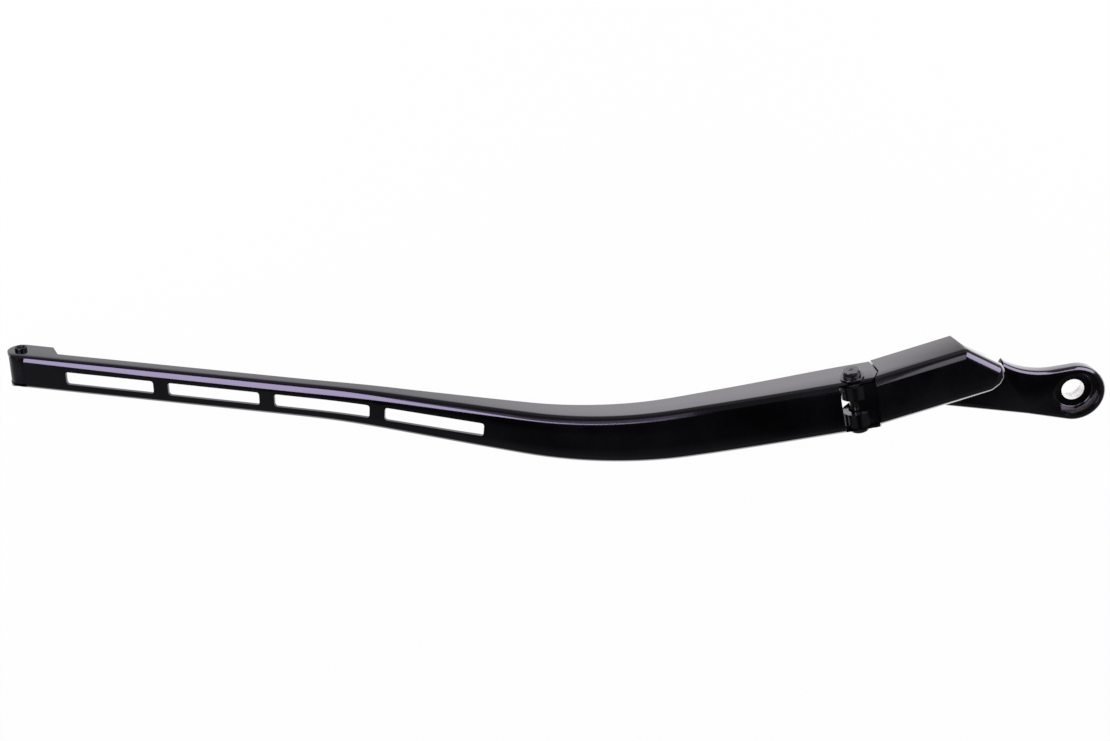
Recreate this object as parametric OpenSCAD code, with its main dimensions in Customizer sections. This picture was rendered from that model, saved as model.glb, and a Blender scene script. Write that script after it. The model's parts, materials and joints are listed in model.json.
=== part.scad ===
// Front wiper arm: a stamped steel channel hinged on a die-cast head.
// Origin: centre of the spindle bore on its seat. +Z along the spindle, away from the glass.
// The arm runs towards -X. Millimetres.

/* [Reach] */
// Spindle axis to hinge pin, along X
hinge_x = 119.5; // [112:0.5:130]
// Spindle axis to the middle of the hinge pin, across the arm
hinge_y = 2.8; // [0:0.2:6]
// Height of the hinge pin above the spindle seat
hinge_z = 20; // [19:0.5:22]
// Hinge pin to tip pin, measured along the arm
arm_reach = 482.2; // [450:0.2:520]

/* [Arm channel] */
// Width over the flanges at the hinge
root_w = 30; // [28:0.5:34]
// Width over the flanges at the tip
tip_w = 20.8; // [19:0.2:23]
// Depth of the flanges at the hinge
root_depth = 24; // [22:0.5:26]
// Depth of the flanges in the slender outer half
tip_depth = 9; // [8:0.5:11]
// Sheet thickness of the channel
sheet = 1.8; // [1.4:0.1:2.2]
// Outside radius of the long edges
edge_r = 3.2; // [2.6:0.1:4]
// Height of the face above the hinge pin
face_rise = 9.2; // [8.6:0.2:10]
// Hinge pin to the middle of the main bend
bend_at = 138; // [130:1:150]
// Length of the main bend
bend_len = 86; // [70:2:100]
// Sideways turn of the main bend, degrees
bend_turn = 17.4; // [12:0.2:20]
// Hinge pin to the small counter bend
kink_at = 281; // [270:1:300]
// Turn of the counter bend, degrees
kink_turn = 3.5; // [2:0.5:5]
// Distance from the hinge pin at which the slender outer half begins
waist_at = 300; // [280:2:320]
// Heading of the channel at the hinge, degrees from X
root_heading = 12.4; // [8:0.2:16]
// Fall towards the glass at the hinge, degrees
root_fall = 3; // [1:0.5:4]
// Fall towards the glass over the outer half, degrees
tip_fall = 10; // [8:0.5:12]

/* [Slots] */
// Number of slots in the face
slot_count = 4; // [2:1:4]
// Length of the slot nearest the tip
slot_len = 53; // [45:0.5:54]
// How much longer each further slot is
slot_grow = 1.2; // [0:0.1:1.4]
// Width of a slot
slot_w = 7.8; // [6.6:0.2:8.4]
// Metal left between two slots
slot_bridge = 8.8; // [8:0.1:12]
// Tip pin to the first slot
slot_start = 30.8; // [29:0.2:34]
// Corner radius of a slot
slot_r = 1.6; // [1:0.1:2.4]

/* [Hinge] */
// Diameter of the hinge pin
pin_d = 7; // [6:0.2:7.6]
// Diameter of the hinge pin's head
pin_head_d = 10; // [9:0.2:12]
// Height of the hinge pin's head
pin_head_h = 3.6; // [3:0.2:4.4]
// Diameter of the washer under the pin's head
pin_washer_d = 13; // [12:0.5:14]
// Thickness of the washer under the pin's head
pin_washer_t = 0.9; // [0.6:0.1:1.2]
// Diameter of the collar on the far end of the pin
pin_collar_d = 10.5; // [9.5:0.5:12]
// Thickness of that collar
pin_collar_t = 2.2; // [1.6:0.2:3]
// Wall of the hinge bushes
bush_wall = 1; // [0.8:0.1:1.2]
// Radial running gap of pins in their bushes
run_gap = 0.05; // [0.03:0.01:0.08]
// Radius of the head's knuckle round the pin
knuckle_r = 7.4; // [6.8:0.1:7.6]
// Thickness of the knuckle's cheeks
cheek_t = 4; // [3.4:0.2:4.6]
// Thickness of the thrust washers
thrust_t = 0.8; // [0.6:0.1:1]
// Side play of the hinge, each side
side_play = 0.1; // [0.05:0.05:0.2]
// Hinge pin to the inboard point of the channel's lugs
lug_len = 13.6; // [13:0.2:15]
// Hinge pin to the end of the face
face_gap = 8.6; // [8.2:0.1:9.4]
// Gap between the lugs and the head's notch
notch_gap = 0.9; // [0.7:0.1:1.4]

/* [Head] */
// Thickness of the head's top wall
head_top = 3.6; // [3:0.1:4.2]
// Thickness of the head's side walls
head_wall = 4; // [3.6:0.1:4.6]
// Heading of the raised body, degrees from X
head_heading = 19.5; // [16:0.5:22]
// Length of the raised body's long side
body_long = 67; // [64:1:70]
// How far the raised body stands back from the channel, on its long side
body_step = 1.5; // [1:0.1:2]
// Length of the raised body's short side
body_short = 50; // [46:1:54]
// Height of the raised body's rim above the spindle seat
body_foot = 5; // [4:0.5:6]
// Lean of the wall below the raised body's slanted end, degrees
corner_lean = 14; // [10:1:18]
// Thickness of the lever
lever_t = 9; // [8:0.2:10]
// Height of the lever's face above the seat
lever_top = 17.4; // [16:0.2:18]
// Rounding of the lever's edges
lever_r = 2; // [1.5:0.1:2.6]
// Radius of the lever's end round the spindle
eye_r = 16.2; // [15.8:0.1:17.4]
// Radius of the waist that is cut into the lever
waist_r = 66; // [56:1:76]

/* [Spindle bore] */
// Large diameter of the taper, at the seat
taper_d = 15; // [14.6:0.1:15.8]
// Diameter of the cylindrical land below the nut
land_d = 13; // [12.4:0.1:13.4]
// Length of the cylindrical land
land_len = 3.2; // [3:0.1:3.6]
// Height of the nut seat above the spindle seat
nut_seat_z = 10.8; // [10:0.1:11.6]
// Diameter of the recess for the nut
recess_d = 21.6; // [20.6:0.2:22.4]
// Widening of the recess towards the lever's face, each side
recess_flare = 1.9; // [1.4:0.1:2.2]
// Number of serrations in the taper
serrations = 30; // [20:1:32]
// Depth of a serration
serration_h = 0.45; // [0.3:0.05:0.5]

/* [Spring] */
// Wire diameter of the spring
wire_d = 1.9; // [1.6:0.1:2.2]
// Outside diameter of the spring
spring_d = 11; // [10:0.2:11.6]
// Number of coils
coils = 21; // [14:1:22]
// Hinge pin to the spring bracket
bracket_at = 110; // [106:1:114]
// Length of the coiled part
coil_len = 66; // [60:1:68]
// Diameter of the head's anchor pin
anchor_d = 4; // [3.6:0.1:4.4]
// Hinge pin to the anchor pin, along the head
anchor_x = 2.5; // [2:0.1:3]
// Anchor pin below the hinge pin
anchor_z = 7.9; // [7.8:0.1:8.6]
// Spring line below the hinge pin
spring_z = 9; // [8.6:0.1:9.6]
// Thickness of the link
link_t = 3; // [2.4:0.2:4]
// Width of the link's strap
link_w = 3; // [2.6:0.1:3.2]
// Room between the hinge pin and the link's bow when they are in line
link_gap = 1; // [0.8:0.1:1.3]

/* [Tip] */
// Radius of the tip lugs round the pin
tip_lug_r = 7.6; // [7:0.2:8]
// Tip pin below the face
tip_pin_drop = 9; // [8.6:0.2:9.6]
// Tip pin to the inboard end of the deep lugs
tip_lug_len = 19.7; // [17:0.1:21]
// Tip pin to the end of the face
tip_face_gap = 5.4; // [4:0.2:7]
// Diameter of the tip pin
tip_pin_d = 5; // [4:0.2:5.4]
// Diameter of the tip pin's head
tip_head_d = 7; // [6.6:0.2:8]
// Height of the tip pin's head
tip_head_h = 2.1; // [1.8:0.1:2.6]
// Thickness of the tip's side washers
tip_washer_t = 0.5; // [0.4:0.1:0.8]
// Wall of the sleeve in the blade adapter
sleeve_wall = 0.9; // [0.7:0.1:1.1]
// Outside radius of the adapter round the pin
adapter_r = 6; // [5.4:0.1:6.2]
// Length of the adapter's tongue
adapter_len = 22; // [20:1:26]

/* [Hidden] */
$fn = 64;
eps = 0.01;
black_coat = [0.07, 0.07, 0.08];
cast_black = [0.05, 0.05, 0.055];
bright_steel = [0.72, 0.73, 0.75];
dark_steel = [0.2, 0.2, 0.22];
bronze = [0.66, 0.5, 0.3];
nylon = [0.86, 0.85, 0.8];
black_plastic = [0.1, 0.1, 0.1];

face_z = hinge_z + face_rise;
root_in = root_w / 2 - sheet;
cheek_out = root_in - thrust_t - side_play;
cheek_in = cheek_out - cheek_t;
bush_r = pin_d / 2 + run_gap + bush_wall;
tip_in = tip_w / 2 - sheet;
tip_half = tip_in - tip_washer_t - side_play;
lug_front = face_rise - edge_r;
lug_back = face_rise - root_depth;

// The arm's centre line: heading and fall change by ramps, and the points are summed along it.
function ramp(x) = max(0, min(1, x));
function heading(s) = root_heading - bend_turn * ramp((s - bend_at) / bend_len + 0.5)
    + kink_turn * ramp((s - kink_at) / 50 + 0.5);
function fall(s) = root_fall + (tip_fall - root_fall) * ramp((s - 122) / 180 + 0.5);
function outward(s) = [-cos(heading(s)) * cos(fall(s)), -sin(heading(s)) * cos(fall(s)), -sin(fall(s))];
function arm_pt(s) = let (n = max(1, ceil(abs(s) / 4)), h = s / n)
    [-hinge_x, -hinge_y, face_z] + [for (i = [1 : n]) 1] * [for (i = [1 : n]) h * outward((i - 0.5) * h)];

// Values at a few stations, blended so that no edge shows a corner.
function blend(s, table) = [1, 2, 3, 2, 1] * [for (k = [-2 : 2]) lookup(s + 9 * k, table)] / 9;
function width_at(s) = blend(s, [[bend_at - 40, root_w], [waist_at, tip_w]]);
function depth_at(s) = s > arm_reach - tip_lug_len ? tip_pin_drop + tip_lug_r
    : blend(s, [[8, root_depth], [bend_at - 40, root_depth - 4.5], [bend_at + 12, root_depth - 5.8],
        [waist_at - 45, tip_depth + 2.5], [waist_at, tip_depth + 1], [arm_reach, tip_depth - 0.4]]);

module at_arm(s) {
    translate(arm_pt(s)) rotate([0, -fall(s), heading(s)]) children();
}

module at_hinge() {
    translate([-hinge_x, -hinge_y, hinge_z]) rotate([0, 0, root_heading]) children();
}

module at_tip() {
    at_arm(arm_reach) translate([0, 0, -tip_pin_drop]) children();
}

// A round bar along Y, from y0 to y1.
module bar(d, y0, y1) {
    translate([0, y0, 0]) rotate([-90, 0, 0]) cylinder(d = d, h = y1 - y0);
}

// A flat shape given in X and Z, from y0 to y1.
module plate(y0, y1) {
    translate([0, y1, 0]) rotate([90, 0, 0]) linear_extrude(y1 - y0) children();
}

// A closed skin over rings that all have the same number of points.
module skin(rings) {
    n = len(rings);
    m = len(rings[0]);
    polyhedron(points = [for (r = rings) each r], faces = concat(
        [for (i = [0 : n - 2], j = [0 : m - 1]) [i * m + j, (i + 1) * m + j, (i + 1) * m + (j + 1) % m]],
        [for (i = [0 : n - 2], j = [0 : m - 1]) [i * m + j, (i + 1) * m + (j + 1) % m, i * m + (j + 1) % m]],
        [[for (j = [0 : m - 1]) j]],
        [[for (j = [m - 1 : -1 : 0]) (n - 1) * m + j]]), convexity = 12);
}

// The bent sheet's section: outside up one flange, over the face and down, then back inside.
function corner(cy, cz, r, a0, a1) = [for (k = [0 : 4]) let (a = a0 + (a1 - a0) * k / 4)
    [cy + r * cos(a), cz + r * sin(a)]];
function u_section(w, d) = let (c = w / 2 - edge_r, ri = edge_r - sheet) concat(
    [[-w / 2, -d]], corner(-c, -edge_r, edge_r, 180, 90), corner(c, -edge_r, edge_r, 90, 0),
    [[w / 2, -d], [w / 2 - sheet, -d]], corner(c, -edge_r, ri, 0, 90), corner(-c, -edge_r, ri, 90, 180),
    [[-w / 2 + sheet, -d]]);
function ring_at(s) = let (p = arm_pt(s), a = heading(s), f = fall(s))
    [for (q = u_section(width_at(s), depth_at(s)))
        p + q[0] * [-sin(a), cos(a), 0] + q[1] * [-sin(f) * cos(a), -sin(f) * sin(a), cos(f)]];

// Middle of slot k, counted from the tip.
function slot_at(k) = arm_reach - slot_start - slot_len / 2 - k * (slot_len + slot_bridge) - k * k * slot_grow / 2;

module rounded_slot(l, w, r) {
    square([l - 2 * r, w], center = true);
    square([l, w - 2 * r], center = true);
    for (x = [-1, 1], y = [-1, 1]) translate([x * (l / 2 - r), y * (w / 2 - r)]) circle(r, $fn = 24);
}

// Side outline of the channel's lug at the hinge, grown by g for the notch in the head.
module lug_side(g = 0) {
    polygon([[-face_gap - 30, lug_front + g], [lug_len - 3.2 + g * 0.7, lug_front + g], [lug_len + g, -0.8],
        [lug_len - 1.4 + g, lug_back * 0.75], [lug_len - 2.4 + g, lug_back - 2 - g],
        [-face_gap - 30, lug_back - 2 - g]]);
}

module arm_channel() {
    body_end = arm_reach - tip_lug_len - 3;
    straight = [for (k = [0 : 7]) -16 + k * (bend_at - bend_len / 2 + 16) / 8];
    bent = [for (k = [0 : 36]) bend_at - bend_len / 2 + k * (waist_at + 40 - bend_at + bend_len / 2) / 37];
    slender = [for (k = [0 : 6]) waist_at + 40 + k * (body_end - waist_at - 40) / 6];
    color(black_coat) difference() {
        skin([for (s = concat(straight, bent, slender,
            [arm_reach - tip_lug_len + 3.4, arm_reach - 6, arm_reach + tip_lug_r + 1])) ring_at(s)]);
        for (k = [0 : slot_count - 1]) at_arm(slot_at(k)) translate([0, 0, -sheet - 3])
            linear_extrude(sheet + 6) rounded_slot(slot_len + k * slot_grow, slot_w, slot_r);
        at_hinge() {
            // The face stops short of the pin, with a notch in the middle for the link.
            translate([-face_gap, -root_in, -root_depth]) cube([face_gap + 30, 2 * root_in, 3 * root_depth]);
            plate(-root_w, root_w) difference() {
                translate([-face_gap + 0.6, -3 * root_depth]) square([face_gap + 40, 6 * root_depth]);
                lug_side();
            }
            bar(pin_d, -root_w, root_w);
        }
        at_tip() {
            translate([-30, -tip_in, -root_depth]) cube([30 + tip_face_gap, 2 * tip_in, 3 * root_depth]);
            plate(-tip_w, tip_w) difference() {
                translate([-30, -3 * root_depth]) square([30 + tip_face_gap, 6 * root_depth]);
                circle(tip_lug_r);
                translate([0, -tip_lug_r]) square([tip_face_gap + eps, 2 * tip_lug_r]);
            }
            bar(tip_pin_d, -tip_w, tip_w);
        }
    }
}

// Plan of the raised body, in its own frame: X along the long side from the hinge end.
module body_plan(g = 0) {
    h = root_w / 2 - g;
    low = body_step - h;
    polygon([[-14, low], [body_long - 9 - 0.2 * g, low], [body_long - 3.5 - 0.6 * g, low + 2.4 - 0.2 * g],
        [body_long - 0.4 - g, low + 6 - 0.6 * g], [body_long - g, low + 10.5 - 1.4 * g],
        [body_short + 2.5 - g * 0.6, h - 2], [body_short - 1.5 - g * 0.6, h], [-14, h]]);
}

module at_body() {
    at_hinge() translate([lug_len - 1, 0, -hinge_z]) rotate([0, 0, head_heading - root_heading]) children();
}

// Plan of the lever: straight lower edge, waisted upper edge, round eye.
module lever_plan(g = 0) {
    circle(eye_r - g);
    difference() {
        polygon([[-hinge_x + 44, -2 + g], [-hinge_x + 50, 8.7 - eye_r + g], [-2.3, 0.1 - eye_r + g],
            [0, 0], [3.6, eye_r - g - 0.5], [-hinge_x + 78, 19 - g], [-hinge_x + 62, 19 - g]]);
        translate([-16, eye_r + waist_r - 3]) circle(waist_r + g, $fn = 120);
    }
}

module knuckle_side() {
    circle(knuckle_r);
    translate([anchor_x, -anchor_z]) circle(anchor_d / 2 + 2);
    polygon([[0, -knuckle_r], [-3, 0], [-1, lug_front], [30, lug_front], [30, body_foot - hinge_z + 1],
        [lug_len + 4, body_foot - hinge_z + 1], [lug_len - 7, lug_back * 0.9]]);
}

module serrated_bore() {
    taper_len = nut_seat_z - land_len;
    cone_tip = land_d / 2;
    cone_foot = taper_d / 2;
    lean = atan((cone_foot - cone_tip) / taper_len);
    translate([0, 0, -eps]) cylinder(r1 = cone_foot, r2 = cone_tip, h = taper_len + 2 * eps);
    translate([0, 0, taper_len]) cylinder(d = land_d, h = land_len + eps);
    for (k = [0 : serrations - 1]) rotate([0, 0, k * 360 / serrations])
        translate([cone_foot, 0, -0.6]) rotate([0, -lean, 0])
            linear_extrude(taper_len - 0.6) polygon([[-0.7, -0.42], [serration_h, 0], [-0.7, 0.42]]);
}

module mounting_head() {
    low = body_step + head_wall - root_w / 2;
    color(cast_black) difference() {
        union() {
            // Raised body with rounded edges, open at the back.
            difference() {
                at_body() difference() {
                    minkowski() {
                        translate([0, 0, body_foot - 8]) linear_extrude(face_z - body_foot + 8 - edge_r)
                            body_plan(edge_r);
                        sphere(edge_r, $fn = 24);
                    }
                    translate([-40, -60, body_foot - 40]) cube([200, 120, 40]);
                    // The wall under the slanted end leans inwards.
                    translate([body_short + 1, root_w / 2 - 0.5, face_z - edge_r]) rotate([0, 0, -51])
                        rotate([-corner_lean, 0, 0]) translate([-30, 0, -60]) cube([80, 30, 60]);
                    // Inside
                    translate([0, 0, body_foot - 1]) linear_extrude(face_z - head_top - body_foot + 1)
                        polygon([[-30, low], [body_long - 22, low],
                            [body_short - 8, root_w / 2 - head_wall], [-30, root_w / 2 - head_wall]]);
                }
                // Room for the channel's lugs and face.
                at_hinge() {
                    for (m = [0, 1]) mirror([0, m, 0]) plate(cheek_out, root_w) lug_side(notch_gap);
                    translate([-30, -root_w, lug_front]) cube([30 + lug_len - 2.4, 2 * root_w, 40]);
                    translate([-40, -root_w, -hinge_z - 9]) cube([40 + lug_len - 6, 2 * root_w, 60]);
                }
            }
            // Knuckle: two cheeks and the recessed wall between them.
            at_hinge() {
                for (m = [0, 1]) mirror([0, m, 0]) plate(cheek_in, cheek_out) knuckle_side();
                translate([0, -cheek_out, lug_front - head_top])
                    cube([lug_len + 6, 2 * cheek_out, head_top]);
                translate([-knuckle_r + 1.4, -cheek_out, lug_front - head_top])
                    cube([knuckle_r, 2 * cheek_out, head_top - 0.5]);
            }
            // Lever, eye and seat boss.
            translate([0, 0, lever_top - lever_t + lever_r]) minkowski() {
                linear_extrude(lever_t - 2 * lever_r) lever_plan(lever_r);
                sphere(lever_r, $fn = 16);
            }
            cylinder(r1 = eye_r - 5, r2 = eye_r - 0.5, h = lever_top - lever_t + lever_r);
        }
        // Slot that lets the link through when the arm is raised.
        at_hinge() translate([-30, -4.2, -root_depth]) cube([30 + lug_len - 3.4, 8.4, 2 * root_depth]);
        // Rounded edges of the recessed part between the lugs.
        for (m = [0, 1]) at_hinge() mirror([0, m, 0])
            translate([-30, cheek_out - 2.6, lug_front - 2.6]) difference() {
                cube([28 + lug_len - 2.4, 4, 4]);
                translate([-1, 0, 0]) rotate([0, 90, 0]) cylinder(r = 2.6, h = 60);
            }
        at_hinge() bar(2 * bush_r, -root_w, root_w);
        at_hinge() translate([anchor_x, 0, -anchor_z]) bar(anchor_d, -cheek_out, cheek_out);
        translate([0, 0, nut_seat_z]) cylinder(d = recess_d, h = 40);
        translate([0, 0, lever_top - 2.4])
            cylinder(r1 = recess_d / 2, r2 = recess_d / 2 + recess_flare + 0.1, h = 2.5);
        serrated_bore();
        // Weight-saving pocket under the lever.
        translate([0, 0, lever_top - lever_t - eps]) linear_extrude(lever_t - 4.6) intersection() {
            lever_plan(3.4);
            polygon([[-hinge_x + 70, -12], [-eye_r - 2.5, -12], [-eye_r - 2.5, 12], [-hinge_x + 76, 12]]);
        }
    }
}

module hinge_pin() {
    top = root_w / 2 + pin_washer_t;
    color(dark_steel) at_hinge() {
        bar(pin_d, -root_w / 2 - pin_collar_t - 0.4, top + 0.2);
        difference() {
            bar(pin_head_d, top, top + pin_head_h);
            // Six flats on the head.
            for (a = [0, 60, 120, 180, 240, 300]) translate([0, top + 0.9, 0]) rotate([0, a, 0])
                translate([pin_head_d / 2 - 0.45, 0, -pin_head_d]) cube([5, 10, 2 * pin_head_d]);
        }
    }
}

module washer_y(d, hole, y0, t) {
    difference() {
        bar(d, y0, y0 + t);
        bar(hole, y0 - 1, y0 + t + 1);
    }
}

module hinge_pin_washer() {
    color(dark_steel) at_hinge() washer_y(pin_washer_d, pin_d, root_w / 2, pin_washer_t);
}

module hinge_pin_collar() {
    color(dark_steel) at_hinge() difference() {
        union() {
            washer_y(pin_collar_d, pin_d, -root_w / 2 - pin_collar_t, pin_collar_t);
        }
        translate([0, -root_w / 2 - pin_collar_t, 0]) rotate([90, 0, 0]) translate([0, 0, -0.5])
            rotate_extrude() polygon([[pin_collar_d / 2 - 0.5, 0.6], [pin_collar_d / 2 + 1, 0.6],
                [pin_collar_d / 2 + 1, -0.5]]);
    }
}

module hinge_bush() {
    difference() {
        bar(2 * bush_r, cheek_in, cheek_out);
        bar(pin_d + 2 * run_gap, cheek_in - 1, cheek_out + 1);
    }
}

module upper_hinge_bush() {
    color(bronze) at_hinge() hinge_bush();
}

module lower_hinge_bush() {
    color(bronze) at_hinge() mirror([0, 1, 0]) hinge_bush();
}

module upper_thrust_washer() {
    color(nylon) at_hinge() washer_y(pin_d + 5, pin_d + 0.2, root_in - thrust_t, thrust_t);
}

module lower_thrust_washer() {
    color(nylon) at_hinge() mirror([0, 1, 0])
        washer_y(pin_d + 5, pin_d + 0.2, root_in - thrust_t, thrust_t);
}

// Tube along points, with rings that turn as little as possible.
function unit(v) = v / norm(v);
function tangent(p, i) = unit(p[min(i + 1, len(p) - 1)] - p[max(i - 1, 0)]);
function flat_to(v, t) = unit(v - (v * t) * t);
function tube_rings(p, r, sides) = [for (i = 0, n = flat_to([0, 1, 0.01], tangent(p, 0)); i < len(p);
    n = i + 1 < len(p) ? flat_to(n, tangent(p, i + 1)) : n, i = i + 1)
    [for (k = [0 : sides - 1]) let (a = 360 * k / sides, b = cross(tangent(p, i), n))
        p[i] + r * cos(a) * n + r * sin(a) * b]];

// The spring lies along X from the bracket's hole to the link's hole.
hook_r = spring_d / 2 - wire_d;
coil_r = (spring_d - wire_d) / 2;
hook_len = hook_r * 1.8 + 4;
bracket_x = -bracket_at;
link_x = bracket_x + coil_len + 2 * hook_len;

module tension_spring() {
    steps = 12;
    coil = [for (k = [0 : coils * steps]) let (a = 360 * k / steps)
        [bracket_x + hook_len + coil_len * k / (coils * steps), coil_r * sin(a), coil_r * cos(a)]];
    // At each end the wire comes down to the axis and makes a loop in the XY plane.
    function loop(x, side) = [for (b = [-150 : 30 : 120]) [x - side * hook_r * (1 - cos(b)), hook_r * sin(b), 0]];
    left = loop(bracket_x, -1);
    right = loop(link_x, 1);
    path = concat(left, [[bracket_x + hook_len - 3.2, hook_r * 0.9, coil_r * 0.45]], coil,
        [[link_x - hook_len + 3.2, hook_r * 0.9, coil_r * 0.45]], [for (k = [len(right) - 1 : -1 : 0]) right[k]]);
    color(bright_steel) at_hinge() translate([0, 0, -spring_z]) skin(tube_rings(path, wire_d / 2, 6));
}

// The link in its own frame: the anchor pin at the origin, the spring's hole on -X. Its bow goes
// round the hinge pin, so that the spring can pass its dead point.
module at_link() {
    at_hinge() translate([anchor_x, 0, -anchor_z])
        rotate([0, atan((anchor_z - spring_z) / (anchor_x - link_x)), 0]) children();
}

module spring_link() {
    reach = norm([anchor_x - link_x, anchor_z - spring_z]);
    pin_at = norm([anchor_x, anchor_z]);
    bow_r = pin_d / 2 + link_gap + link_w / 2;
    color(dark_steel) at_link() difference() {
        plate(-link_t / 2, link_t / 2) {
            circle(anchor_d / 2 + 1.8);
            translate([-reach, 0]) circle(wire_d / 2 + 3);
            translate([-pin_at, 0]) intersection() {
                difference() {
                    circle(bow_r + link_w / 2);
                    circle(bow_r - link_w / 2);
                }
                translate([-20, -20]) square([40, 20]);
            }
            translate([-reach, -link_w / 2]) square([reach - pin_at - bow_r + link_w / 2, link_w]);
        }
        bar(anchor_d + 2 * run_gap, -link_t, link_t);
        translate([-reach, 0, 0]) bar(wire_d + 1, -link_t, link_t);
    }
}

module head_anchor_pin() {
    color(bright_steel) at_hinge() translate([anchor_x, 0, -anchor_z]) bar(anchor_d, -cheek_out, cheek_out);
}

// Folded steel tab welded under the face, with a hole for the spring's hook.
module spring_bracket() {
    under = arm_pt(bracket_at)[2] - hinge_z - sheet - 0.12;
    color(dark_steel) {
        at_arm(bracket_at) translate([-16, -6, -sheet - 2.12]) cube([20, 12, 2]);
        at_hinge() translate([bracket_x, 0, 0]) difference() {
            plate(-1, 1) polygon([[-13, under - 1.6], [3, under - 1], [3, -spring_z - 1], [1.6, -spring_z - 3],
                [-2.5, -spring_z - 3]]);
            translate([0, 0, -spring_z]) bar(wire_d + 1, -5, 5);
        }
    }
}

module tip_pin() {
    color(bright_steel) at_tip() difference() {
        union() {
            bar(tip_pin_d, -tip_w / 2 - 1.8, tip_w / 2 + eps);
            bar(tip_head_d, tip_w / 2, tip_w / 2 + tip_head_h);
        }
        translate([0, tip_w / 2 + tip_head_h - 1.3, 0]) rotate([-90, 0, 0]) cylinder(d = 4, h = 3);
    }
}

module tip_pin_collar() {
    color(dark_steel) at_tip() washer_y(tip_head_d, tip_pin_d, -tip_w / 2 - 1.5, 1.5);
}

module adapter_sleeve() {
    color(bright_steel) at_tip() difference() {
        bar(tip_pin_d + 2 * (run_gap + sleeve_wall), -tip_half, tip_half);
        bar(tip_pin_d + 2 * run_gap, -tip_half - 1, tip_half + 1);
    }
}

module upper_tip_washer() {
    color(nylon) at_tip() washer_y(tip_pin_d + 4, tip_pin_d + 0.2, tip_in - tip_washer_t, tip_washer_t);
}

module lower_tip_washer() {
    color(nylon) at_tip() mirror([0, 1, 0])
        washer_y(tip_pin_d + 4, tip_pin_d + 0.2, tip_in - tip_washer_t, tip_washer_t);
}

// Plastic carrier for the blade: an eye round the pin and a tongue with a snap window.
module blade_adapter() {
    eye = tip_pin_d / 2 + run_gap + sleeve_wall;
    color(black_plastic) at_tip() difference() {
        union() {
            bar(2 * adapter_r, -3, tip_half);
            bar(2 * (eye + 1.2), -tip_half, -2.9);
            plate(-tip_half + 1, tip_half - 1) polygon([[-1.5, -1], [3, 0.8], [adapter_len, 0.8],
                [adapter_len, -4.4], [adapter_len - 3, -adapter_r - 0.6], [0, -adapter_r - 0.6], [-1.5, -5]]);
        }
        bar(2 * eye, -tip_half - 1, tip_half + 1);
        // Channel for the blade's spine and the window for its latch.
        translate([6.6, -3.4, -20]) cube([adapter_len, 6.8, 20 - 1.4]);
        translate([adapter_len - 9, -3.4, -3]) cube([4.5, 6.8, 10]);
    }
}

arm_channel();
mounting_head();
hinge_pin();
hinge_pin_washer();
hinge_pin_collar();
upper_hinge_bush();
lower_hinge_bush();
upper_thrust_washer();
lower_thrust_washer();
tension_spring();
spring_link();
head_anchor_pin();
spring_bracket();
tip_pin();
tip_pin_collar();
blade_adapter();
adapter_sleeve();
upper_tip_washer();
lower_tip_washer();
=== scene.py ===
# %% [markdown]
# # A wiper arm, dressed for its photograph
#
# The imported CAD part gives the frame: where every piece sits and how it moves. This lesson builds
# the looks on it: a pressed sheet arm, a cast head, turned pins and a coiled spring, then paint,
# bare metal and plastic. Lengths are written in millimetres and scaled once, because that is how
# such a part is drawn.

# %% Load the frame
import bmesh
import bpy
import json
import math
from mathutils import Matrix, Vector

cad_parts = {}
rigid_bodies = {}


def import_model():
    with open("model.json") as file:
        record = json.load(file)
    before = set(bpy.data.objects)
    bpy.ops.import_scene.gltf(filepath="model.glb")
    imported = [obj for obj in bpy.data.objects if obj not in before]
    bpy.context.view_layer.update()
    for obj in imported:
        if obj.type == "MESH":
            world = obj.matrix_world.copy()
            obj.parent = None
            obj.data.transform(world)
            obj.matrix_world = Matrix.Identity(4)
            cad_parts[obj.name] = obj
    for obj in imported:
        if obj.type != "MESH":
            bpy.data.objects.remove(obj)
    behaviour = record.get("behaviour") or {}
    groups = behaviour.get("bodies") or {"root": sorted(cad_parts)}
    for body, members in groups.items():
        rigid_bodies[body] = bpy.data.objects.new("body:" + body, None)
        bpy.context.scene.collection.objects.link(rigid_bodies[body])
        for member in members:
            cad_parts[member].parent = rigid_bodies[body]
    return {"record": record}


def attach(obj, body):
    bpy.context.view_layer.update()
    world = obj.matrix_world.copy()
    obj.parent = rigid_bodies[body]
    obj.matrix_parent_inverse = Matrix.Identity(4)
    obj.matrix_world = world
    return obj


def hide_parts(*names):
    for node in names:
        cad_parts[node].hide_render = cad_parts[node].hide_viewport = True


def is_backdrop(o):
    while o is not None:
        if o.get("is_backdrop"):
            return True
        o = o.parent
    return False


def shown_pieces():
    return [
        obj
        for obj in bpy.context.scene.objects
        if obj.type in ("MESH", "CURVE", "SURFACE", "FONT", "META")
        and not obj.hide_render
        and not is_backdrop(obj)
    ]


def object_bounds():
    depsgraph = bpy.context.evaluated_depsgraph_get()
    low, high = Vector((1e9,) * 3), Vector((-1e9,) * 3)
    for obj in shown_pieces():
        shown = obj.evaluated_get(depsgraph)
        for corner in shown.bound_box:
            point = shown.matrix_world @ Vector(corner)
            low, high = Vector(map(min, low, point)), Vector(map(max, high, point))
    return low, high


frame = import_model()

MM = 0.001
cad_box = [list(corner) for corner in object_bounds()]
joint_at = {j["name"]: Vector(j["pos_m"]) / MM for j in frame["record"]["behaviour"]["joints"]}
print("CAD box, m:", cad_box)

# %% [markdown]
# ## The arm's centre line
#
# A wiper arm is bent twice, sideways and towards the glass. The CAD sums small steps whose heading
# and fall change by ramps. The same few named values here give the same line, so that the pressed
# sheet can follow it. A Bezier curve would be quicker to draw but would not stay on the CAD.

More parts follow.
